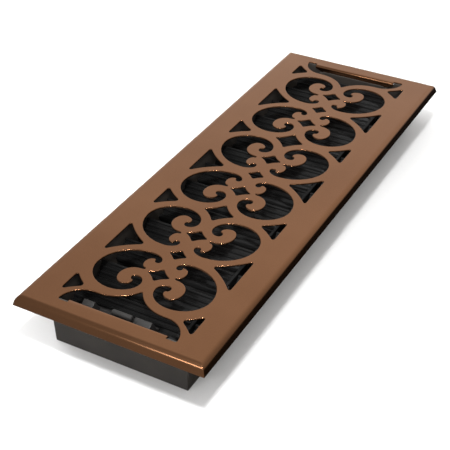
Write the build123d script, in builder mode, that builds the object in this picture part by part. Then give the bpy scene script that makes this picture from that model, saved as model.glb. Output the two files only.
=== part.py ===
"""Floor register: scroll-grille face over a damper box with linked louvre blades.

Millimetres. X is the short way across, Y the long way, Z up.
The origin is the centre of the box's open bottom; the near end, with the lever, is at -Y.
"""
from build123d import *
import os
from math import cos, hypot, radians, sin, tan

os.makedirs("parts", exist_ok=True)

# Face sheet and rim
sheet = 1.2
rim_height = 6.4
rim_roll = 4.2
side_border = 20.6
end_border = 12.4

# Grille layout: u runs along the length from a tile's centre, v runs across from the centre line
tile_pitch = 106.5
tile_count = 3
field_half = 45.4
bell_reach = 17.85
chord_length = 6.0

# One scroll opening: the points where its outline runs straight along v, then along u, in turn
ring_left = (5.4, 14.9)
ring_top = (29.6, 40.8)
ring_right = (47.9, 21.2)
ring_bottom = (35.8, 5.3)
curl_left = (29.7, 11.0)
curl_end = (31.9, 13.9)
curl_mouth = (34.4, 12.2)
hook_tip = (36.0, 11.2)
hook_right = (40.3, 17.0)
hook_top = (32.3, 22.8)
hook_left = (22.5, 13.2)
notch_tip = (21.6, 10.7)
notch_left = (20.7, 11.6)
bud_top = (15.2, 15.0)
bud_left = (10.0, 10.7)
bud_tip = (10.9, 9.8)
pocket_right = (13.1, 7.7)
pocket_bottom = (10.9, 5.6)

# Diamonds on the centre line: half length, half width and the hollow of each side
small_diamond = (5.5, 6.5, 0.5)
middle_diamond = (6.6, 8.2, 0.8)
large_diamond = (10.3, 11.4, 1.0)
middle_diamond_u = 23.3

# Triangles along the sides: half base, distance of the tip from the centre line, hollow of each side
large_triangle = (17.2, 24.2, 1.5)
small_triangle = (11.6, 30.0, 0.9)
end_triangle = (9.6, 33.6, 0.6)

# Bell opening at each end, with a tab folded down along its straight edge
bell_half = 41.0
shoulder_width = 15.5
shoulder_depth = 15.6
flank_start = 23.0
bell_depth = 29.4
tab_half = 34.0
tab_bend = 2.1
tab_depth = 8.8
tongue_half = 26.5
tongue_drop = 5.0

# Damper box
box_drop = 30.0
box_side_margin = 3.0
box_wall = 1.5
box_draft = 2.2
box_corner = 1.2
box_end_gap = 0.1
bend_relief = 1.0
pocket_gap = 0.15
pocket_wall = 1.2
pocket_floor_z = 25.8
cheek_width = 3.2
cheek_height = 5.4
lip_height = 6.6

# Louvre blades
blade_count = 13
blade_chord = 28.0
blade_sheet = 1.0
blade_end_gap = 1.2
end_blade_gap = 0.7
axis_height = 18.0
open_angle = 48.0
closed_angle = 6.0
barrel_radius = 2.6
barrel_sides = 6
stub_radius = 1.8
stub_proud = 0.8
pin_sides = 8
running_gap = 0.06
rib_width = 1.7
rib_proud = 0.7
rib_pitch = 3.6
rib_count = 3
rib_start = 5.8

# Cranks, pegs and the link bar
crank_radius = 9.0
ear_width = 5.0
ear_thickness = 2.0
ear_x = 33.2
link_thickness = 2.0
link_height = 5.0
link_gap = 0.3
notch_gap = 1.8
peg_radius = 1.5
peg_proud = 0.8

# Thumb lever, clipped over the first blade
lever_reach = 17.4
lever_width = 14.0
lever_thickness = 2.6
lever_lean = 30.0
lever_x = -2.1
grip_radius = 1.9
foot_half = 4.4
foot_height = 3.2
clip_gap = 0.02
block_reach = 13.4
block_thickness = 5.0
block_width = 12.0
brace_width = 8.0
brace_x = -27.4

# Levels and positions that follow from the sizes above
rim_z = box_drop
top_z = rim_z + rim_height
under_z = top_z - sheet
last_tile_end = tile_pitch * tile_count / 2
bell_edge = last_tile_end + bell_reach
plate_width = 2 * (field_half + side_border)
plate_length = 2 * (bell_edge + end_border)
bend_outer = tab_bend + sheet
bend_z = top_z - bend_outer
tab_z = top_z - tab_depth
tab_face_y = bell_edge - bend_outer
box_half_width = field_half + box_side_margin
box_half_length = bell_edge - box_end_gap


def wall_shift(z):
    """How far the drafted box walls have come in at height z."""
    return tan(radians(box_draft)) * (under_z - z)


inner_half_width = box_half_width - box_wall - wall_shift(axis_height)
inner_half_length = box_half_length - box_wall - wall_shift(0)
end_axis_y = inner_half_length - blade_chord / 2 - end_blade_gap
blade_pitch = 2 * end_axis_y / (blade_count - 1)
axis_ys = [-end_axis_y + blade_pitch * i for i in range(blade_count)]
blade_half_length = inner_half_width - blade_end_gap
stub_length = blade_end_gap + box_wall + stub_proud
swing = open_angle - closed_angle
crank_angle = 90 + swing / 2
crank_on_blade = crank_angle - open_angle
lever_on_blade = 90 + lever_lean - open_angle
link_x = ear_x + ear_thickness + link_gap
rib_side = hypot(rib_width / 2, rib_proud)
notch_width = link_gap + link_thickness + peg_proud + link_gap
link_low_z = crank_radius * cos(radians(swing / 2)) - link_height / 2
notch_start = (link_low_z - notch_gap) / sin(radians(open_angle))


def quarter(start, end, along_v):
    """Quarter of an ellipse in short chords that leaves start along v, or else along u."""
    step_u = end[0] - start[0]
    step_v = end[1] - start[1]
    chords = 2 + round(hypot(step_u, step_v) / chord_length)
    points = []
    for i in range(chords + 1):
        turn = radians(90 * i / chords)
        rise_u, rise_v = (1 - cos(turn), sin(turn)) if along_v else (sin(turn), 1 - cos(turn))
        points.append((start[0] + step_u * rise_u, start[1] + step_v * rise_v))
    return Polyline(*points)


def hollow_polygon(corners, hollows):
    """Opening whose sides bow inwards, each by its hollow."""
    with BuildSketch(mode=Mode.PRIVATE) as opening:
        with BuildLine():
            for i, hollow in enumerate(hollows):
                start = corners[i]
                end = corners[(i + 1) % len(corners)]
                if hollow:
                    SagittaArc(start, end, -hollow)
                else:
                    Line(start, end)
        make_face()
    return opening.sketch


def diamond(size, centre_u):
    """Four-pointed opening on the centre line."""
    half_u, half_v, hollow = size
    corners = [
        (centre_u + half_u, 0),
        (centre_u, half_v),
        (centre_u - half_u, 0),
        (centre_u, -half_v),
    ]
    return hollow_polygon(corners, [hollow] * 4)


def triangle(size, centre_u):
    """Three-pointed opening whose straight base lies along the edge of the grille field."""
    half_base, tip, hollow = size
    corners = [
        (centre_u + half_base, field_half),
        (centre_u - half_base, field_half),
        (centre_u, tip),
    ]
    return hollow_polygon(corners, [0, hollow, hollow])


# Grille sketches have u as their X and v as their Y
scroll_turns = [
    ring_left, ring_top, ring_right, ring_bottom, curl_left, curl_end, curl_mouth, hook_tip,
    hook_right, hook_top, hook_left, notch_tip, notch_left, bud_top, bud_left, bud_tip,
    pocket_right, pocket_bottom,
]
with BuildSketch() as tile:
    with BuildLine():
        for i, turn in enumerate(scroll_turns):
            quarter(turn, scroll_turns[(i + 1) % len(scroll_turns)], along_v=i % 2 == 0)
    make_face()
    add(triangle(large_triangle, 0))
    mirror(about=Plane.XZ)
    add(diamond(middle_diamond, middle_diamond_u))
    mirror(about=Plane.YZ)
    add(diamond(small_diamond, 0))

with BuildSketch() as tile_joint:
    add(triangle(small_triangle, 0))
    mirror(about=Plane.XZ)
    add(diamond(large_diamond, 0))

# Bell opening with the small triangles beside it
shoulder_u = bell_edge - shoulder_depth
shoulder_v = bell_half - shoulder_width
with BuildSketch() as bell:
    with BuildLine():
        Line((bell_edge, 0), (bell_edge, bell_half))
        quarter((bell_edge, bell_half), (shoulder_u, shoulder_v), along_v=False)
        Line((shoulder_u, shoulder_v), (shoulder_u, flank_start))
        TangentArc((shoulder_u, flank_start), (bell_edge - bell_depth, 0), tangent=(0, -1))
        mirror(about=Plane.XZ)
    make_face()
    add(triangle(end_triangle, last_tile_end))
    add(mirror(triangle(end_triangle, last_tile_end), about=Plane.XZ, mode=Mode.PRIVATE))

# Faceplate: shallow tray with a rolled rim mitred at the corners, the grille punched through its top
grille_plane = Plane(origin=(0, 0, top_z), x_dir=(0, 1, 0), z_dir=(0, 0, 1))
with BuildPart() as faceplate:
    with BuildSketch(Plane.XY.offset(rim_z)):
        Rectangle(plate_width, plate_length)
    extrude(amount=rim_height)
    fillet(faceplate.faces().sort_by(Axis.Z)[-1].edges(), rim_roll)
    offset(amount=-sheet, openings=faceplate.faces().sort_by(Axis.Z)[0])
    with BuildSketch(grille_plane):
        with GridLocations(tile_pitch, 0, tile_count, 1):
            add(tile.sketch)
        with GridLocations(tile_pitch, 0, tile_count - 1, 1):
            add(tile_joint.sketch)
        add(bell.sketch)
        mirror(bell.sketch, about=Plane.YZ)
    extrude(amount=-rim_height, mode=Mode.SUBTRACT)
    # Tabs folded down at the straight edges of the bells, each narrowed to a tongue below its bend
    with BuildSketch(Plane.YZ.offset(-tab_half)):
        with BuildLine():
            outside = CenterArc((bell_edge, bend_z), bend_outer, 90, 90)
            inside = CenterArc((bell_edge, bend_z), tab_bend, 90, 90)
            Line(outside @ 0, inside @ 0)
            Polyline(outside @ 1, (tab_face_y, tab_z), (tab_face_y + sheet, tab_z), inside @ 1)
        make_face()
        mirror(about=Plane.YZ)
    extrude(amount=2 * tab_half)
    with BuildSketch(Plane.XZ):
        with BuildLine():
            Polyline(
                (tab_half, bend_z),
                (tongue_half, top_z - tongue_drop),
                (tongue_half, tab_z),
                (tab_half, tab_z),
                close=True,
            )
        make_face()
        mirror(about=Plane.YZ)
    extrude(amount=bell_edge, both=True, mode=Mode.SUBTRACT)
faceplate.part.label = "faceplate"
export_step(faceplate.part, "parts/faceplate.step")

# Damper box: drafted sleeve, open at the top and bottom, with a pocket for a tab of the face at each end
slot_half = tongue_half + 2 * pocket_gap
slot_y = tab_face_y - pocket_gap
lip_y = slot_y - pocket_wall
with BuildPart() as damper_box:
    with BuildSketch(Plane.XY.offset(under_z)) as outline:
        Rectangle(2 * box_half_width, 2 * box_half_length)
        chamfer(outline.vertices(), box_corner)
    extrude(amount=-under_z, taper=box_draft)
    with BuildSketch(Plane.XY.offset(under_z)):
        Rectangle(2 * (box_half_width - box_wall), 2 * (box_half_length - box_wall))
    extrude(amount=-under_z, taper=box_draft, mode=Mode.SUBTRACT)
    with BuildSketch(Plane.XZ):
        with Locations((0, under_z)):
            Rectangle(2 * (tab_half + pocket_gap), 2 * bend_relief)
    extrude(amount=box_half_length, both=True, mode=Mode.SUBTRACT)
    with BuildSketch(Plane.XY.offset(pocket_floor_z)):
        with Locations((0, box_half_length - box_wall)):
            Rectangle(
                2 * (slot_half + cheek_width),
                box_half_length - box_wall - lip_y,
                align=(Align.CENTER, Align.MAX),
            )
        mirror(about=Plane.XZ)
    extrude(amount=cheek_height)
    with BuildSketch(Plane.XY.offset(pocket_floor_z)):
        with Locations((0, lip_y)):
            Rectangle(2 * slot_half, pocket_wall, align=(Align.CENTER, Align.MIN))
        mirror(about=Plane.XZ)
    extrude(amount=lip_height)
    with BuildSketch(Plane.XY.offset(pocket_floor_z + pocket_wall)):
        with Locations((0, slot_y)):
            Rectangle(2 * slot_half, sheet + 2 * pocket_gap, align=(Align.CENTER, Align.MIN))
        mirror(about=Plane.XZ)
    extrude(amount=lip_height, mode=Mode.SUBTRACT)
    with BuildSketch(Plane.YZ):
        with Locations(*[(y, axis_height) for y in axis_ys]):
            RegularPolygon(stub_radius + running_gap, pin_sides, major_radius=False)
    extrude(amount=box_half_width, both=True, mode=Mode.SUBTRACT)
damper_box.part.label = "damper_box"
export_step(damper_box.part, "parts/damper_box.step")


def blade_plane(y):
    """Plane across a blade at its left end: X along the chord, Y off its upper face, Z along the blade."""
    tilt = radians(open_angle)
    return Plane((-blade_half_length, y, axis_height), x_dir=(0, cos(tilt), sin(tilt)), z_dir=(1, 0, 0))


# Louvre blades: ribbed leaf on a barrel, stub pivots, crank ear with its peg, notch for the link bar
for number, y in enumerate(axis_ys, start=1):
    section = blade_plane(y)
    ear_plane = section.offset(blade_half_length + ear_x)
    with BuildPart() as blade:
        with BuildSketch(section):
            Rectangle(blade_chord, blade_sheet)
            RegularPolygon(barrel_radius, barrel_sides)
            for side in (1, -1):
                for i in range(rib_count):
                    with Locations((side * (rib_start + i * rib_pitch), blade_sheet / 2)):
                        Triangle(a=rib_width, b=rib_side, c=rib_side, align=(Align.CENTER, Align.MIN))
        extrude(amount=2 * blade_half_length)
        with BuildSketch(ear_plane.offset(ear_thickness)):
            with Locations((notch_start, 0)):
                Rectangle(blade_chord, 4 * barrel_radius, align=(Align.MIN, Align.CENTER))
        extrude(amount=notch_width, mode=Mode.SUBTRACT)
        with BuildSketch(section.offset(-stub_length)):
            RegularPolygon(stub_radius, pin_sides)
        extrude(amount=2 * (blade_half_length + stub_length))
        with BuildSketch(ear_plane):
            with Locations(Location((0, 0), crank_on_blade)):
                Rectangle(crank_radius, ear_width, align=(Align.MIN, Align.CENTER))
                with Locations((crank_radius, 0)):
                    RegularPolygon(ear_width / 2, pin_sides, major_radius=False)
        extrude(amount=ear_thickness)
        with BuildSketch(ear_plane.offset(ear_thickness)):
            with Locations(Location((0, 0), crank_on_blade)):
                with Locations((crank_radius, 0)):
                    RegularPolygon(peg_radius, pin_sides)
        extrude(amount=link_gap + link_thickness + peg_proud)
    name = f"blade_{number:02d}"
    blade.part.label = name
    export_step(blade.part, f"parts/{name}.step")

# Link bar: flat strip with a hole for each peg
peg_y = crank_radius * cos(radians(crank_angle))
peg_z = axis_height + crank_radius * sin(radians(crank_angle))
with BuildPart() as link_bar:
    with BuildSketch(Plane.YZ.offset(link_x)):
        with Locations((peg_y, peg_z)):
            Rectangle(2 * end_axis_y + link_height, link_height)
        with Locations(*[(y + peg_y, peg_z) for y in axis_ys]):
            RegularPolygon(peg_radius + running_gap, pin_sides, major_radius=False, mode=Mode.SUBTRACT)
    extrude(amount=link_thickness)
link_bar.part.label = "link_bar"
export_step(link_bar.part, "parts/link_bar.step")

# Thumb lever: arm with a round grip, a block and a brace beside it, on a foot over the first blade's barrel
block_x = lever_x + (lever_width + block_width) / 2
foot_start_x = brace_x - brace_width / 2
foot_end_x = block_x + block_width / 2
lever_plane = blade_plane(axis_ys[0]).offset(blade_half_length)
with BuildPart() as lever:
    with BuildSketch(lever_plane.offset(foot_start_x)):
        with Locations((0, blade_sheet / 2)):
            Rectangle(2 * foot_half, foot_height, align=(Align.CENTER, Align.MIN))
    extrude(amount=foot_end_x - foot_start_x)
    with BuildSketch(lever_plane.offset(lever_x)):
        with Locations(Location((0, 0), lever_on_blade)):
            Rectangle(lever_reach - grip_radius, lever_thickness, align=(Align.MIN, Align.CENTER))
            with Locations((lever_reach - grip_radius, 0)):
                Circle(grip_radius)
    extrude(amount=lever_width / 2, both=True)
    for centre_x, width in ((block_x, block_width), (brace_x, brace_width)):
        with BuildSketch(lever_plane.offset(centre_x)):
            with Locations(Location((0, 0), lever_on_blade)):
                Rectangle(block_reach, block_thickness, align=(Align.MIN, Align.CENTER))
        extrude(amount=width / 2, both=True)
    with BuildSketch(lever_plane.offset(foot_start_x)):
        RegularPolygon(barrel_radius + clip_gap, barrel_sides)
        with Locations((0, blade_sheet / 2)):
            Rectangle(blade_chord, blade_chord, align=(Align.CENTER, Align.MAX))
    extrude(amount=foot_end_x - foot_start_x, mode=Mode.SUBTRACT)
lever.part.label = "lever"
export_step(lever.part, "parts/lever.step")
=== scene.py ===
"""Floor register: finished pieces, materials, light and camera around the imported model.

Sizes are millimetres, turned into metres where a piece is placed. X is the short way across,
Y the long way with the lever end at -Y, and Z is up from the box's open bottom.
"""
from math import atan2, cos, hypot, pi, radians, sin, sqrt, tan

import bpy
from mathutils import Matrix, Vector


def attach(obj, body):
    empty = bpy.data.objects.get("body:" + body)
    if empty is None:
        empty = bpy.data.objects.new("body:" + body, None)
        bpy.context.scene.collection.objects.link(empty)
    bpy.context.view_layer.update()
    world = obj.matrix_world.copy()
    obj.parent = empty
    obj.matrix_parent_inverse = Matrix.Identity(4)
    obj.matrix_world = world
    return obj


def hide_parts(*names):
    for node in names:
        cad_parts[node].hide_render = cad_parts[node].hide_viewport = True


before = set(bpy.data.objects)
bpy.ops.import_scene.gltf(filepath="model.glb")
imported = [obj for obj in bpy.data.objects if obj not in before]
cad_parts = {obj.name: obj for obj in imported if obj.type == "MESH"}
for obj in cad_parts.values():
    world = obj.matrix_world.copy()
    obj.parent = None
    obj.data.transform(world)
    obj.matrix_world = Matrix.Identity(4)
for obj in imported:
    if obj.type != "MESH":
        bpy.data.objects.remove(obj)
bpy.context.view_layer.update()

mm = 0.001

# Face sheet and rim
sheet = 1.2
rim_height = 6.4
roll_radius = 4.2
rim_slope = 72.0
rim_corner = 0.4
lip_round = 0.3
plate_half_width = 66.0
plate_half_length = 190.0
rim_z = 30.0
top_z = rim_z + rim_height
under_z = top_z - sheet
lean = radians(rim_slope)
slope_height = rim_height - roll_radius * (1 - cos(lean)) - lip_round * (1 + cos(lean))
roll_reach = roll_radius * sin(lean) + slope_height / tan(lean)
rim_reach = roll_reach + lip_round * (1 - sin(lean))
punched_round = 0.4
rim_weld = 0.01
triangle_cut = 3.4
diamond_cut = 1.5
bell_cut = 1.2

# Grille layout: u runs along the length from a tile's centre, v across from the centre line
tile_pitch = 106.5
tile_places = (-tile_pitch, 0.0, tile_pitch)
joint_places = (-tile_pitch / 2, tile_pitch / 2)
field_half = 45.4
bell_edge = 177.6

# One scroll opening: the points where its outline runs straight along v, then along u, in turn
scroll_turns = [
    (5.4, 14.9), (29.6, 40.8), (47.9, 21.2), (35.8, 5.3), (29.7, 11.0), (31.9, 13.9),
    (34.4, 12.2), (36.0, 11.2), (40.3, 17.0), (32.3, 22.8), (22.5, 13.2), (21.6, 10.7),
    (20.7, 11.6), (15.2, 15.0), (10.0, 10.7), (10.9, 9.8), (13.1, 7.7), (10.9, 5.6),
]

# Diamonds and triangles: half length or base, half width or tip, hollow of each side
small_diamond = (5.5, 6.5, 0.5)
middle_diamond = (6.6, 8.2, 0.8)
large_diamond = (10.3, 11.4, 1.0)
middle_diamond_u = 23.3
large_triangle = (17.2, 24.2, 1.5)
small_triangle = (11.6, 30.0, 0.9)
end_triangle = (9.6, 33.6, 0.6)
end_triangle_u = 1.5 * tile_pitch

# Bell opening at each end and the tab folded down along its straight edge
bell_half = 41.0
shoulder_width = 15.5
shoulder_depth = 15.6
flank_start = 23.0
bell_depth = 29.4
tab_half = 34.0
tab_lead = 1.4
tab_bend = 0.7
tab_depth = 8.8
tongue_drop = 5.0
tab_round = 0.2
tab_cut_thickness = 8.0
tab_cut_spare = 1.0
bend_outer = tab_bend + sheet
bend_z = top_z - bend_outer
tab_z = top_z - tab_depth
tab_face_y = bell_edge - tab_lead - bend_outer
tongue_half = 26.5
tongue_z = top_z - tongue_drop

# Louvre blades
blade_count = 13
end_axis_y = 159.948
blade_pitch = 2 * end_axis_y / (blade_count - 1)
axis_height = 18.0
open_angle = radians(48.0)
blade_chord = 28.0
blade_sheet = 1.0
leaf_round = 0.2
blade_half_length = 45.039
barrel_radius = 2.6
stub_radius = 1.8
stub_length = 3.5
rib_half_width = 0.85
rib_proud = 0.7
rib_places = (-13.0, -9.4, -5.8, 5.8, 9.4, 13.0)

# Cranks, pegs and the link bar
crank_radius = 9.0
crank_angle = radians(111.0)
crank_on_blade = crank_angle - open_angle
ear_width = 5.0
ear_x = 33.2
ear_thickness = 2.0
link_x = 35.5
link_thickness = 2.0
link_height = 5.0
peg_radius = 1.5
peg_length = 3.1
peg_root = 0.5
peg_round = 0.25
running_gap = 0.06
notch_start = 5.51
notch_width = 3.4
notch_cut_length = 20.0
notch_cut_height = 10.0

# Thumb lever
lever_reach = 17.4
lever_width = 14.0
lever_thickness = 2.6
lever_angle = radians(120.0)
lever_on_blade = lever_angle - open_angle
lever_round = 0.9
lever_root = 0.6
grip_radius = 1.9
bead_length = 0.01
lever_x = -2.1
foot_half = 4.4
foot_top = 3.7
foot_chamfer = 1.2
block_reach = 13.4
block_thickness = 5.0
post_corner = 0.6
post_root = 0.3
post_round = 0.5
block_x = 10.9
block_width = 12.0
brace_x = -27.4
brace_width = 8.0

# Edge rounding of the moulded pieces, and how far the box's top is set into the sheet
box_round = 0.45
box_weld = 0.001
box_seat = 0.4
seat_margin = 0.05
moulded_round = 0.3

# Light all round: its colour, and the least of it that a shaded side keeps
dome_tint = (1.0, 0.985, 0.965, 1)
least_glow = 0.02

# A quarter circle as one Bezier stretch
quarter_handle = 0.5523

# Fineness of curves and pins, and the turns that count as flat, smooth or a corner
curve_steps = 8
pin_sides = 24
flat_turn = radians(1)
smooth_turn = radians(35)
edge_turn = radians(40)
corner_cosine = 0.97


def way_between(start, leave, arrive, end):
    """The four control points of a stretch, with handles along it where it is straight."""
    start = Vector(start)
    end = Vector(end)
    leave = Vector(leave or start.lerp(end, 1 / 3))
    arrive = Vector(arrive or end.lerp(start, 1 / 3))
    return start, leave, arrive, end


def is_corner(way, following):
    """Whether the outline turns sharply from one stretch to the next."""
    heading = (way[3] - way[2]).normalized()
    next_heading = (following[1] - following[0]).normalized()
    return heading.dot(next_heading) < corner_cosine


def middle_of(way, start, end):
    """The part of a stretch between two shares of it, by halving its control points."""
    def split(points, share):
        first = [points[0]]
        last = [points[-1]]
        while len(points) > 1:
            points = [a.lerp(b, share) for a, b in zip(points, points[1:])]
            first.append(points[0])
            last.insert(0, points[-1])
        return first, last

    return split(split(list(way), end)[0], start / end)[1]


class Outline:
    """A closed loop of Bezier points, drawn one stretch at a time."""

    def __init__(self, x, y):
        self.places = [(x, y)]
        self.arrivals = [None]
        self.departures = [None]

    def stretch(self, end, leave, arrive):
        """Goes to end with these two handles, or straight where they are None."""
        self.departures[-1] = leave
        self.places.append(end)
        self.arrivals.append(arrive)
        self.departures.append(None)
        return self

    def line(self, x, y):
        return self.stretch((x, y), None, None)

    def quarter(self, x, y, first):
        """A quarter of an ellipse that sets out along the axis named first."""
        from_x, from_y = self.places[-1]
        step_x = quarter_handle * (x - from_x)
        step_y = quarter_handle * (y - from_y)
        if first == "x":
            return self.stretch((x, y), (from_x + step_x, from_y), (x, y - step_y))
        return self.stretch((x, y), (from_x, from_y + step_y), (x - step_x, y))

    def bow(self, x, y, rise):
        """A shallow arc that rises to the left of the straight way."""
        from_x, from_y = self.places[-1]
        step_x = x - from_x
        step_y = y - from_y
        lift = 4 / 3 * rise / hypot(step_x, step_y)
        side_x = -step_y * lift
        side_y = step_x * lift
        leave = (from_x + step_x / 3 + side_x, from_y + step_y / 3 + side_y)
        arrive = (x - step_x / 3 + side_x, y - step_y / 3 + side_y)
        return self.stretch((x, y), leave, arrive)

    def eased(self, cut):
        """A copy whose corners are cut back along both sides and turned by a small curve."""
        ways = list(zip(self.places, self.departures, self.arrivals[1:], self.places[1:]))
        ways = [way_between(*way) for way in ways]
        trimmed = []
        for i, way in enumerate(ways):
            share = cut / (way[3] - way[0]).length
            start = share if is_corner(ways[i - 1], way) else 0.0
            end = share if is_corner(way, ways[(i + 1) % len(ways)]) else 0.0
            trimmed.append(middle_of(way, start, 1 - end))
        copy = Outline(*trimmed[0][0])
        for i, way in enumerate(trimmed):
            copy.stretch(tuple(way[3]), tuple(way[1]), tuple(way[2]))
            following = trimmed[(i + 1) % len(trimmed)][0]
            if (following - way[3]).length > 0.001:
                corner = ways[i][3]
                leave = way[3].lerp(corner, 0.5)
                arrive = following.lerp(corner, 0.5)
                copy.stretch(tuple(following), tuple(leave), tuple(arrive))
        return copy

    def points(self):
        """Place, arriving and leaving handle of each point, the last joined to the first."""
        arrivals = [self.arrivals[-1]] + self.arrivals[1:-1]
        return list(zip(self.places[:-1], arrivals, self.departures[:-1]))

    def moved(self, shift_x=0.0, shift_y=0.0, flip_x=1, flip_y=1):
        """A copy, mirrored and then moved."""
        def move(point):
            return point and (flip_x * point[0] + shift_x, flip_y * point[1] + shift_y)

        copy = Outline(0, 0)
        copy.places = [move(p) for p in self.places]
        copy.arrivals = [move(p) for p in self.arrivals]
        copy.departures = [move(p) for p in self.departures]
        return copy


def activate(piece):
    """Makes a piece the only selected one."""
    bpy.ops.object.select_all(action="DESELECT")
    piece.select_set(True)
    bpy.context.view_layer.objects.active = piece


def settle(piece):
    """Puts a piece's place into its mesh."""
    activate(piece)
    bpy.ops.object.transform_apply(location=True, rotation=True, scale=True)


def smooth(piece):
    """Shades a piece smooth, with its sharp edges kept."""
    activate(piece)
    bpy.ops.object.shade_smooth_by_angle(angle=smooth_turn)


def joined(name, pieces):
    """One object made of several."""
    activate(pieces[0])
    for piece in pieces[1:]:
        piece.select_set(True)
    bpy.ops.object.join()
    pieces[0].name = name
    return pieces[0]


def draw(curve, outline):
    """Adds an outline to a curve as a closed spline."""
    points = outline.points()
    spline = curve.splines.new("BEZIER")
    spline.bezier_points.add(len(points) - 1)
    spline.use_cyclic_u = True
    for knot, (place, arrive, leave) in zip(spline.bezier_points, points):
        knot.co = Vector((*place, 0)) * mm
        knot.handle_left_type = "FREE" if arrive else "VECTOR"
        knot.handle_right_type = "FREE" if leave else "VECTOR"
        knot.handle_left = Vector((*(arrive or place), 0)) * mm
        knot.handle_right = Vector((*(leave or place), 0)) * mm


def flat_piece(name, outlines, thickness, edge_round):
    """A filled flat outline with holes, given thickness and rounded edges, about the XY plane."""
    curve = bpy.data.curves.new(name, "CURVE")
    curve.dimensions = "2D"
    curve.fill_mode = "BOTH"
    curve.resolution_u = curve_steps
    for outline in outlines:
        draw(curve, outline)
    curve.extrude = (thickness / 2 - edge_round) * mm
    curve.bevel_depth = edge_round * mm
    curve.bevel_resolution = 2
    curve.offset = -edge_round * mm
    piece = bpy.data.objects.new(name, curve)
    bpy.context.scene.collection.objects.link(piece)
    activate(piece)
    bpy.ops.object.convert(target="MESH")
    return piece


# Turns a flat piece so that its X runs along Y, its Y up and its thickness along X
across = Matrix(((0, 0, 1, 0), (1, 0, 0, 0), (0, 1, 0, 0), (0, 0, 0, 1)))


def cross_piece(name, outlines, low_x, thickness, edge_round):
    """A flat piece that stands across the length, from low_x on."""
    piece = flat_piece(name, outlines, thickness, edge_round)
    piece.matrix_world = Matrix.Translation(((low_x + thickness / 2) * mm, 0, 0)) @ across
    settle(piece)
    return piece


def round_pin(name, x, y, z, radius, length, edge_round):
    """A pin along X from x on, with its end edges rounded."""
    bpy.ops.object.select_all(action="DESELECT")
    bpy.ops.mesh.primitive_cylinder_add(
        vertices=pin_sides, radius=radius * mm, depth=length * mm,
        location=((x + length / 2) * mm, y * mm, z * mm), rotation=(0, pi / 2, 0),
    )
    pin = bpy.context.object
    pin.name = name
    settle(pin)
    bevel = pin.modifiers.new("rounding", "BEVEL")
    bevel.width = edge_round * mm
    bevel.segments = 2
    bpy.ops.object.modifier_apply(modifier=bevel.name)
    return pin


def scroll():
    """One scroll opening, as (v, u)."""
    outline = Outline(*reversed(scroll_turns[0]))
    for i in range(len(scroll_turns)):
        u, v = scroll_turns[(i + 1) % len(scroll_turns)]
        outline.quarter(v, u, "x" if i % 2 == 0 else "y")
    return outline


def diamond(size, centre_u):
    """Four-pointed opening on the centre line, with hollow sides."""
    half_u, half_v, hollow = size
    outline = Outline(half_v, centre_u)
    outline.bow(0, centre_u + half_u, hollow)
    outline.bow(-half_v, centre_u, hollow)
    outline.bow(0, centre_u - half_u, hollow)
    return outline.bow(half_v, centre_u, hollow).eased(diamond_cut)


def triangle(size, centre_u):
    """Three-pointed opening whose straight base lies along the edge of the grille field."""
    half_base, tip, hollow = size
    outline = Outline(field_half, centre_u - half_base)
    outline.line(field_half, centre_u + half_base)
    outline.bow(tip, centre_u, hollow)
    return outline.bow(field_half, centre_u - half_base, hollow).eased(triangle_cut)


def bell():
    """End opening with a bell's outline."""
    shoulder_u = bell_edge - shoulder_depth
    shoulder_v = bell_half - shoulder_width
    tip_u = bell_edge - bell_depth
    drop = shoulder_u - tip_u
    flank_radius = (drop ** 2 + flank_start ** 2) / (2 * drop)
    turn = atan2(flank_start, flank_radius - drop)
    reach = 4 / 3 * tan(turn / 4) * flank_radius
    lean_u = sin(turn) * reach
    lean_v = cos(turn) * reach
    outline = Outline(-bell_half, bell_edge).line(bell_half, bell_edge)
    outline.quarter(shoulder_v, shoulder_u, "y").line(flank_start, shoulder_u)
    outline.stretch((0, tip_u), (flank_start - reach, shoulder_u), (lean_v, tip_u + lean_u))
    flank_end = (-flank_start, shoulder_u)
    outline.stretch(flank_end, (-lean_v, tip_u + lean_u), (reach - flank_start, shoulder_u))
    outline.line(-shoulder_v, shoulder_u).quarter(-bell_half, bell_edge, "x")
    return outline.eased(bell_cut)


def rounded_rectangle(half_x, half_y, corner):
    """Outline of a plate with rounded corners."""
    outline = Outline(half_x, corner - half_y).line(half_x, half_y - corner)
    outline.quarter(half_x - corner, half_y, "y").line(corner - half_x, half_y)
    outline.quarter(-half_x, half_y - corner, "x").line(-half_x, corner - half_y)
    outline.quarter(corner - half_x, -half_y, "y").line(half_x - corner, -half_y)
    return outline.quarter(half_x, corner - half_y, "x")


def both_sides(outline):
    return [outline, outline.moved(flip_x=-1)]


def grille_openings():
    """Every opening that is punched through the face."""
    curls = both_sides(scroll())
    curls += [curl.moved(flip_y=-1) for curl in curls]
    tile = curls + both_sides(triangle(large_triangle, 0)) + [diamond(small_diamond, 0)]
    tile += [diamond(middle_diamond, side * middle_diamond_u) for side in (1, -1)]
    joint = both_sides(triangle(small_triangle, 0)) + [diamond(large_diamond, 0)]
    end = [bell()] + both_sides(triangle(end_triangle, end_triangle_u))
    openings = [opening.moved(shift_y=place) for place in tile_places for opening in tile]
    openings += [opening.moved(shift_y=place) for place in joint_places for opening in joint]
    return openings + end + [opening.moved(flip_y=-1) for opening in end]


def punched_panel():
    """The flat of the face, from roll to roll, with its punched edges rounded over."""
    half_x = plate_half_width - rim_reach + punched_round
    half_y = plate_half_length - rim_reach + punched_round
    border = rounded_rectangle(half_x, half_y, rim_corner + punched_round)
    panel = flat_piece("panel", [border] + grille_openings(), sheet, punched_round)
    panel.location.z = (top_z - sheet / 2) * mm
    settle(panel)
    return panel


def arc(centre, radius, start, end, steps):
    """Points of an arc between two angles in degrees, as (inset, height)."""
    angles = [radians(start + (end - start) * i / steps) for i in range(steps + 1)]
    return [(centre[0] + radius * cos(a), centre[1] + radius * sin(a)) for a in angles]


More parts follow.
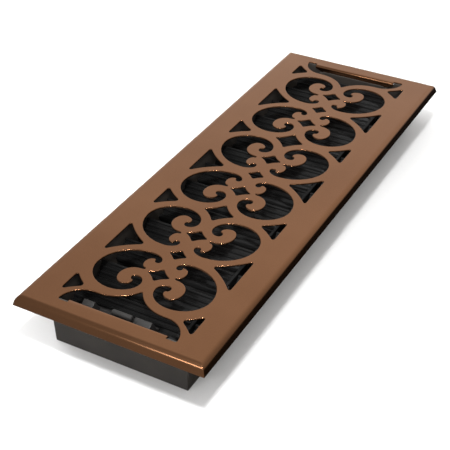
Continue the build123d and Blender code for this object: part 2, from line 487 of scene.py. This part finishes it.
def rolled_rim():
    """The rim: a loop of edges drawn up its slope, over the roll and back down inside."""
    roll_centre = (rim_reach, rim_height - roll_radius)
    inner_lip = lip_round + (sheet - 2 * lip_round) / sin(lean)
    section = arc((lip_round, lip_round), lip_round, 270, 90 + rim_slope, 4)
    section += arc(roll_centre, roll_radius, 90 + rim_slope, 90, 10)
    section += arc(roll_centre, roll_radius - sheet, 90, 90 + rim_slope, 8)
    section += arc((inner_lip, lip_round), lip_round, rim_slope - 90, -90, 3)
    section.append(section[0])
    bpy.ops.object.select_all(action="DESELECT")
    bpy.ops.mesh.primitive_plane_add(size=2)
    rim = bpy.context.object
    rim.name = "rim"
    inset, height = section[0]
    rim.scale = ((plate_half_width - inset) * mm, (plate_half_length - inset) * mm, 1)
    rim.location.z = (rim_z + height) * mm
    settle(rim)
    bpy.ops.object.mode_set(mode="EDIT")
    bpy.ops.mesh.select_all(action="SELECT")
    bpy.ops.mesh.bevel(offset=rim_corner * mm, segments=3, affect="VERTICES")
    bpy.ops.mesh.select_all(action="SELECT")
    bpy.ops.mesh.delete(type="ONLY_FACE")
    bpy.ops.mesh.select_all(action="SELECT")
    for next_inset, next_height in section[1:]:
        bpy.ops.mesh.extrude_edges_indiv()
        bpy.ops.transform.translate(value=(0, 0, (next_height - height) * mm))
        grow_x = (plate_half_width - next_inset) / (plate_half_width - inset)
        grow_y = (plate_half_length - next_inset) / (plate_half_length - inset)
        bpy.ops.transform.resize(value=(grow_x, grow_y, 1), center_override=(0, 0, 0))
        inset, height = next_inset, next_height
    bpy.ops.mesh.select_all(action="SELECT")
    bpy.ops.mesh.remove_doubles(threshold=rim_weld * mm)
    bpy.ops.mesh.normals_make_consistent(inside=False)
    bpy.ops.object.mode_set(mode="OBJECT")
    return rim


def folded_tab(end):
    """The tab bent down from the face at a bell's straight edge, narrowed to a tongue."""
    root = bell_edge + punched_round
    fold = bell_edge - tab_lead
    section = Outline(root, top_z).line(fold, top_z).quarter(tab_face_y, bend_z, "x")
    section.line(tab_face_y, tab_z).line(tab_face_y + sheet, tab_z)
    section.line(tab_face_y + sheet, bend_z)
    section.quarter(fold, under_z, "y").line(root, under_z).line(root, top_z)
    tab = cross_piece("tab", [section.moved(flip_x=end)], -tab_half, 2 * tab_half, tab_round)
    side_v = tab_half + tab_cut_spare
    low_z = tab_z - tab_cut_spare
    for side in (1, -1):
        corner = Outline(side_v, bend_z).line(tongue_half, tongue_z).line(tongue_half, low_z)
        corner.line(side_v, low_z).line(side_v, bend_z)
        cutter = flat_piece("corner", [corner.moved(flip_x=side)], tab_cut_thickness, 0.0)
        cutter.rotation_euler.x = pi / 2
        cutter.location.y = end * tab_face_y * mm
        settle(cutter)
        cut_away(tab, cutter)
    return tab


def cut_away(piece, cutter):
    """Cuts one piece out of another and clears it away."""
    activate(piece)
    cut = piece.modifiers.new("cut", "BOOLEAN")
    cut.operation = "DIFFERENCE"
    cut.object = cutter
    cut.solver = "EXACT"
    bpy.ops.object.modifier_apply(modifier=cut.name)
    bpy.data.objects.remove(cutter)


def softened(name, node, edge_round):
    """A copy of a CAD node with its facets merged and its edges rounded, to stand for it."""
    piece = bpy.data.objects.new(name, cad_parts[node].data.copy())
    bpy.context.scene.collection.objects.link(piece)
    activate(piece)
    bpy.ops.object.mode_set(mode="EDIT")
    bpy.ops.mesh.select_all(action="SELECT")
    bpy.ops.mesh.remove_doubles(threshold=box_weld * mm)
    bpy.ops.mesh.dissolve_limited(angle_limit=flat_turn)
    bpy.ops.object.mode_set(mode="OBJECT")
    bevel = piece.modifiers.new("rounding", "BEVEL")
    bevel.width = edge_round * mm
    bevel.segments = 3
    bevel.limit_method = "ANGLE"
    bevel.angle_limit = edge_turn
    bpy.ops.object.modifier_apply(modifier=bevel.name)
    return piece


def raise_top(piece, above_z, lift):
    """Lifts everything above a height, so that a rounded top edge still meets what lies on it."""
    activate(piece)
    for corner in piece.data.vertices:
        corner.select = corner.co.z > above_z * mm
    bpy.ops.object.mode_set(mode="EDIT")
    bpy.ops.mesh.select_mode(type="VERT")
    bpy.ops.transform.translate(value=(0, 0, lift * mm))
    bpy.ops.object.mode_set(mode="OBJECT")


def leaf_section():
    """Section of a blade: thin leaf with a barrel at its middle and ribs on its upper face."""
    half = blade_chord / 2
    face = blade_sheet / 2
    shoulder = sqrt(barrel_radius ** 2 - face ** 2)
    section = Outline(-half, -face).line(-shoulder, -face)
    section.quarter(0, -barrel_radius, "y").quarter(shoulder, -face, "x")
    section.line(half, -face).line(half, face)
    bumps = [(place, rib_half_width, face + rib_proud) for place in rib_places]
    bumps.append((0, shoulder, barrel_radius))
    for place, half_width, height in sorted(bumps, reverse=True):
        section.line(place + half_width, face).quarter(place, height, "y")
        section.quarter(place - half_width, face, "x")
    return section.line(-half, face).line(-half, -face)


def pill(from_x, from_y, angle, length, width):
    """Outline of a straight bar with round ends, from one end's centre at an angle."""
    radius = width / 2
    reach = quarter_handle * radius
    along = (cos(angle), sin(angle))
    side = (-sin(angle), cos(angle))

    def spot(ahead, left):
        return (
            from_x + ahead * along[0] + left * side[0],
            from_y + ahead * along[1] + left * side[1],
        )

    outline = Outline(*spot(0, -radius)).line(*spot(length, -radius))
    tip = length + radius
    outline.stretch(spot(tip, 0), spot(length + reach, -radius), spot(tip, -reach))
    outline.stretch(spot(length, radius), spot(tip, reach), spot(length + reach, radius))
    outline.line(*spot(0, radius))
    outline.stretch(spot(-radius, 0), spot(-reach, radius), spot(-radius, reach))
    return outline.stretch(spot(0, -radius), spot(-radius, -reach), spot(-reach, -radius))


def ring(x, y, radius):
    """Outline of a round hole."""
    outline = Outline(x + radius, y).quarter(x, y + radius, "y").quarter(x - radius, y, "x")
    return outline.quarter(x, y - radius, "y").quarter(x + radius, y, "x")


def blade():
    """One louvre blade, level and centred on its own axis."""
    leaf = cross_piece(
        "leaf", [leaf_section()], -blade_half_length, 2 * blade_half_length, leaf_round,
    )
    bpy.ops.object.select_all(action="DESELECT")
    notch_x = ear_x + ear_thickness + notch_width / 2
    notch_y = notch_start + notch_cut_length / 2
    bpy.ops.mesh.primitive_cube_add(size=1, location=(notch_x * mm, notch_y * mm, 0))
    cutter = bpy.context.object
    cutter.scale = (notch_width * mm, notch_cut_length * mm, notch_cut_height * mm)
    settle(cutter)
    cut_away(leaf, cutter)
    peg_y = crank_radius * cos(crank_on_blade)
    peg_z = crank_radius * sin(crank_on_blade)
    crank = pill(0, 0, crank_on_blade, crank_radius, ear_width)
    ear = cross_piece("ear", [crank], ear_x, ear_thickness, moulded_round)
    peg_x = ear_x + ear_thickness - peg_root
    peg = round_pin("peg", peg_x, peg_y, peg_z, peg_radius, peg_length + peg_root, peg_round)
    length = blade_half_length + stub_length
    stubs = [
        round_pin("stub", start_x, 0, 0, stub_radius, 2 * stub_length, moulded_round)
        for start_x in (-length, length - 2 * stub_length)
    ]
    return joined("blade", [leaf, ear, peg] + stubs)


def post():
    """Outline of a short thick post beside the lever's arm, with its top edges rounded."""
    half = block_thickness / 2
    corner = post_corner
    reach = quarter_handle * corner
    start = barrel_radius + post_root
    along = (cos(lever_on_blade), sin(lever_on_blade))

    def spot(ahead, left):
        return (ahead * along[0] - left * along[1], ahead * along[1] + left * along[0])

    top = block_reach
    turn = top - corner + reach
    outline = Outline(*spot(start, -half)).line(*spot(top - corner, -half))
    outline.stretch(spot(top, corner - half), spot(turn, -half), spot(top, corner - reach - half))
    outline.line(*spot(top, half - corner))
    outline.stretch(spot(top - corner, half), spot(top, half - corner + reach), spot(turn, half))
    return outline.line(*spot(start, half)).line(*spot(start, -half))


def lever_arm():
    """The thumb lever, in the same place on a level blade."""
    grip = lever_reach - grip_radius
    foot_base = blade_sheet / 2
    saddle = sqrt(barrel_radius ** 2 - foot_base ** 2)
    foot = Outline(-foot_half, foot_base).line(-saddle, foot_base)
    foot.quarter(0, barrel_radius, "y").quarter(saddle, foot_base, "x").line(foot_half, foot_base)
    foot.line(foot_half - foot_chamfer, foot_top).line(foot_chamfer - foot_half, foot_top)
    foot.line(-foot_half, foot_base)
    arm_start = barrel_radius + lever_root
    root = (arm_start * cos(lever_on_blade), arm_start * sin(lever_on_blade))
    arm = pill(*root, lever_on_blade, grip - arm_start, lever_thickness)
    grip_place = (grip * cos(lever_on_blade), grip * sin(lever_on_blade))
    bead = pill(*grip_place, 0, bead_length, 2 * grip_radius)
    foot_start = brace_x - brace_width / 2
    foot_length = block_x + block_width / 2 - foot_start
    pieces = [
        cross_piece("foot", [foot], foot_start, foot_length, moulded_round),
        cross_piece("arm", [arm], lever_x - lever_width / 2, lever_width, lever_round),
        cross_piece("bead", [bead], lever_x - lever_width / 2, lever_width, lever_round),
        cross_piece("block", [post()], block_x - block_width / 2, block_width, post_round),
        cross_piece("brace", [post()], brace_x - brace_width / 2, brace_width, post_round),
    ]
    return joined("thumb_lever", pieces)


class Signal:
    """A shader socket that takes part in Python sums."""

    def __init__(self, finish, socket):
        self.finish = finish
        self.socket = socket

    def sum(self, operation, first, second):
        return self.finish.node("ShaderNodeMath", {"operation": operation}, {0: first, 1: second})

    def __add__(self, other):
        return self.sum("ADD", self, other)

    def __radd__(self, other):
        return self.sum("ADD", other, self)

    def __mul__(self, other):
        return self.sum("MULTIPLY", self, other)

    def __rmul__(self, other):
        return self.sum("MULTIPLY", other, self)


class Finish:
    """A material in the making: its nodes, its shader and what feeds them."""

    def __init__(self, name, **constants):
        self.material = bpy.data.materials.new(name)
        self.material.use_nodes = True
        self.tree = self.material.node_tree
        self.shader = self.tree.nodes["Principled BSDF"]
        for socket, value in constants.items():
            self.shader.inputs[socket.replace("_", " ")].default_value = value
        self.place = self.node("ShaderNodeTexCoord", output="Object")

    def node(self, kind, settings=None, sockets=None, output=0):
        """Adds a node: its settings first, then its sockets' values or links."""
        made = self.tree.nodes.new(kind)
        for name, value in (settings or {}).items():
            if name == "stops":
                self.set_stops(made.color_ramp.elements, value)
            else:
                setattr(made, name, value)
        for name, value in (sockets or {}).items():
            self.plug(made.inputs[name], value)
        return Signal(self, made.outputs[output])

    def set_stops(self, elements, stops):
        while len(elements) < len(stops):
            elements.new(1.0)
        for element, (position, colour) in zip(elements, stops):
            element.position = position
            element.color = colour if isinstance(colour, tuple) else (colour, colour, colour, 1)

    def plug(self, socket, value):
        if isinstance(value, Signal):
            self.tree.links.new(value.socket, socket)
        else:
            socket.default_value = value

    def feed(self, name, value):
        self.plug(self.shader.inputs[name], value)

    def noise(self, scale, detail, roughness):
        sockets = {"Vector": self.place, "Scale": scale, "Detail": detail, "Roughness": roughness}
        return self.node("ShaderNodeTexNoise", {}, sockets)

    def ramp(self, factor, *stops):
        return self.node("ShaderNodeValToRGB", {"stops": stops}, {"Fac": factor})

    def blend(self, factor, first, second):
        sockets = {"Factor": factor, 6: first, 7: second}
        return self.node("ShaderNodeMix", {"data_type": "RGBA"}, sockets, output=2)

    def bump(self, height, strength, distance):
        sockets = {"Height": height, "Strength": strength, "Distance": distance}
        self.feed("Normal", self.node("ShaderNodeBump", {}, sockets))


def copper_finish():
    """Satin copper lacquer: a brown that clouds softly, with a fine lighter grain."""
    finish = Finish("copper_lacquer", Metallic=1.0)
    cloud = finish.noise(14.0, 4.0, 0.55)
    grain = finish.noise(900.0, 2.0, 0.6)
    tone = finish.ramp(cloud, (0.3, (0.210, 0.097, 0.047, 1)), (0.7, (0.250, 0.119, 0.059, 1)))
    speck = finish.ramp(grain, (0.35, 0.0), (0.75, 1.0))
    finish.feed("Base Color", finish.blend(speck * 0.2, tone, (0.29, 0.145, 0.074, 1)))
    finish.feed("Roughness", 0.17 + 0.06 * cloud + 0.04 * grain)
    finish.bump(grain, 0.03, 0.00005)
    return finish.material


def plastic_finish(name, dark, light, roughness, gloss):
    """Moulded plastic with a fine spark-eroded grain, between a darker and a lighter tone."""
    finish = Finish(name, Specular_IOR_Level=gloss)
    grain = finish.noise(2200.0, 3.0, 0.6)
    cloud = finish.noise(35.0, 3.0, 0.5)
    tone = finish.ramp(cloud, (0.3, (*dark, 1)), (0.7, (*light, 1)))
    finish.feed("Base Color", tone)
    finish.feed("Roughness", roughness + 0.12 * cloud + 0.08 * grain)
    finish.bump(grain, 0.25, 0.00006)
    return finish.material


def dress(piece, material, body, node):
    """Gives a finished piece its material, hangs it on the body it rides on and hides the CAD node
    it stands for.
    """
    piece.data.materials.clear()
    piece.data.materials.append(material)
    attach(piece, body)
    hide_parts(node)


def floor_finish():
    """Pale paper sweep with a hardly visible tooth."""
    finish = Finish("pale_paper", Roughness=0.9, Specular_IOR_Level=0.2)
    tooth = finish.noise(400.0, 2.0, 0.5)
    finish.feed("Base Color", finish.ramp(tooth, (0.0, 0.90), (1.0, 0.93)))
    return finish.material


def lamp(name, place, size, power):
    """A soft square light that looks at the origin."""
    light = bpy.data.lights.new(name, "AREA")
    light.size = size
    light.energy = power
    holder = bpy.data.objects.new(name, light)
    bpy.context.scene.collection.objects.link(holder)
    holder.location = place
    holder.rotation_euler = (-Vector(place)).to_track_quat("-Z", "Y").to_euler()
    return holder


def glowing_dome(name, ambient, glows):
    """Dim light all round, with soft glows: direction, where each starts and is full, strength."""
    world = bpy.data.worlds.new(name)
    world.use_nodes = True
    nodes = world.node_tree.nodes
    links = world.node_tree.links
    direction = nodes.new("ShaderNodeTexCoord")
    total = nodes.new("ShaderNodeValue").outputs[0]
    total.default_value = ambient
    for toward, start, full, strength in glows:
        facing = nodes.new("ShaderNodeVectorMath")
        facing.operation = "DOT_PRODUCT"
        facing.inputs[1].default_value = Vector(toward).normalized()
        glow = nodes.new("ShaderNodeMapRange")
        glow.interpolation_type = "SMOOTHSTEP"
        glow.inputs["From Min"].default_value = start
        glow.inputs["From Max"].default_value = full
        glow.inputs["To Max"].default_value = strength
        both = nodes.new("ShaderNodeMath")
        links.new(direction.outputs["Generated"], facing.inputs[0])
        links.new(facing.outputs["Value"], glow.inputs["Value"])
        links.new(total, both.inputs[0])
        links.new(glow.outputs["Result"], both.inputs[1])
        total = both.outputs[0]
    least = nodes.new("ShaderNodeMath")
    least.operation = "MAXIMUM"
    least.inputs[1].default_value = least_glow
    links.new(total, least.inputs[0])
    links.new(least.outputs[0], nodes["Background"].inputs["Strength"])
    nodes["Background"].inputs["Color"].default_value = dome_tint
    return world


copper = copper_finish()
box_plastic = plastic_finish(
    "box_plastic", dark=(0.026, 0.022, 0.019), light=(0.042, 0.036, 0.031),
    roughness=0.42, gloss=0.4,
)
# Blades: dark plastic, darkened further as painted shade of the box's inside
blade_plastic_and_painted_shade = plastic_finish(
    "blade_plastic_and_painted_shade", dark=(0.005, 0.005, 0.005), light=(0.010, 0.010, 0.010),
    roughness=0.30, gloss=0.2,
)
# Link bar: dark plastic, darkened further as painted shade of the box's inside
link_plastic_and_painted_shade = plastic_finish(
    "link_plastic_and_painted_shade", dark=(0.005, 0.005, 0.005), light=(0.009, 0.009, 0.009),
    roughness=0.50, gloss=0.2,
)
lever_plastic = plastic_finish(
    "lever_plastic", dark=(0.022, 0.021, 0.020), light=(0.034, 0.032, 0.031),
    roughness=0.40, gloss=0.3,
)

# Face: panel, rim and both folded tabs
face = joined("scroll_face", [punched_panel(), rolled_rim(), folded_tab(1), folded_tab(-1)])
smooth(face)
dress(face, copper, "register", "faceplate")

# Box
sleeve = softened("sleeve", "damper_box", box_round)
raise_top(sleeve, under_z - box_round - seat_margin, box_seat)
smooth(sleeve)
dress(sleeve, box_plastic, "register", "damper_box")

# Blades, modelled once and copied to each axis
pattern_blade = blade()
smooth(pattern_blade)
for i in range(blade_count):
    node = f"blade_{i + 1:02d}"
    louvre = bpy.data.objects.new(f"louvre_{i + 1:02d}", pattern_blade.data.copy())
    bpy.context.scene.collection.objects.link(louvre)
    louvre.location = (0, (i * blade_pitch - end_axis_y) * mm, axis_height * mm)
    louvre.rotation_euler.x = open_angle
    settle(louvre)
    dress(louvre, blade_plastic_and_painted_shade, node, node)
bpy.data.objects.remove(pattern_blade)

thumb_lever = lever_arm()
thumb_lever.location = (0, -end_axis_y * mm, axis_height * mm)
thumb_lever.rotation_euler.x = open_angle
settle(thumb_lever)
smooth(thumb_lever)
dress(thumb_lever, lever_plastic, "blade_01", "lever")

# Link bar with a round hole for each peg
peg_y = crank_radius * cos(crank_angle)
peg_z = axis_height + crank_radius * sin(crank_angle)
holes = [
    ring(i * blade_pitch - end_axis_y + peg_y, peg_z, peg_radius + running_gap)
    for i in range(blade_count)
]
strip = pill(peg_y - end_axis_y, peg_z, 0, 2 * end_axis_y, link_height)
link = cross_piece("link_strip", [strip] + holes, link_x, link_thickness, moulded_round)
smooth(link)
dress(link, link_plastic_and_painted_shade, "link", "link_bar")

# Floor
bpy.ops.object.select_all(action="DESELECT")
bpy.ops.mesh.primitive_plane_add(size=12)
floor = bpy.context.object
floor.name = "floor"
floor.data.materials.append(floor_finish())
floor.visible_glossy = False

# Light: a glow from behind and a shade on the right, which the metal mirrors, and four lamps.
# The key and the fill light the plastic and the floor, and don't show in the metal.
back_glow = ((-0.18, 0.95, 0.1), 0.4, 0.95, 0.67)
right_shade = ((0.45, 0.6, -0.66), 0.5, 0.8, -1.0)
bpy.context.scene.world = glowing_dome("studio", 0.41, [back_glow, right_shade])
key = lamp("key", (-1.2, 0.0, 0.9), size=0.8, power=16)
key.visible_glossy = False
lamp("glint", (0.16, -0.34, 0.83), size=0.1, power=5)
lamp("sheen", (-2.1, -7.0, 6.5), size=1.2, power=90)
fill = lamp("fill", (0.7, -0.9, 1.3), size=2.0, power=16)
fill.visible_glossy = False

# Camera at the photograph's angle
camera_place = (0.2818, -0.5638, 0.4375)
azimuth = radians(28.512)
elevation = radians(35.173)
roll = radians(0.155)
camera_data = bpy.data.cameras.new("camera")
camera_data.sensor_width = 36.0
camera_data.lens = 85.42
camera = bpy.data.objects.new("camera", camera_data)
bpy.context.scene.collection.objects.link(camera)
aim = Matrix.Rotation(azimuth, 4, "Z") @ Matrix.Rotation(pi / 2 - elevation, 4, "X")
aim = aim @ Matrix.Rotation(roll, 4, "Z")
camera.matrix_world = Matrix.Translation(camera_place) @ aim
bpy.context.scene.camera = camera
bpy.context.scene.view_settings.view_transform = "Standard"
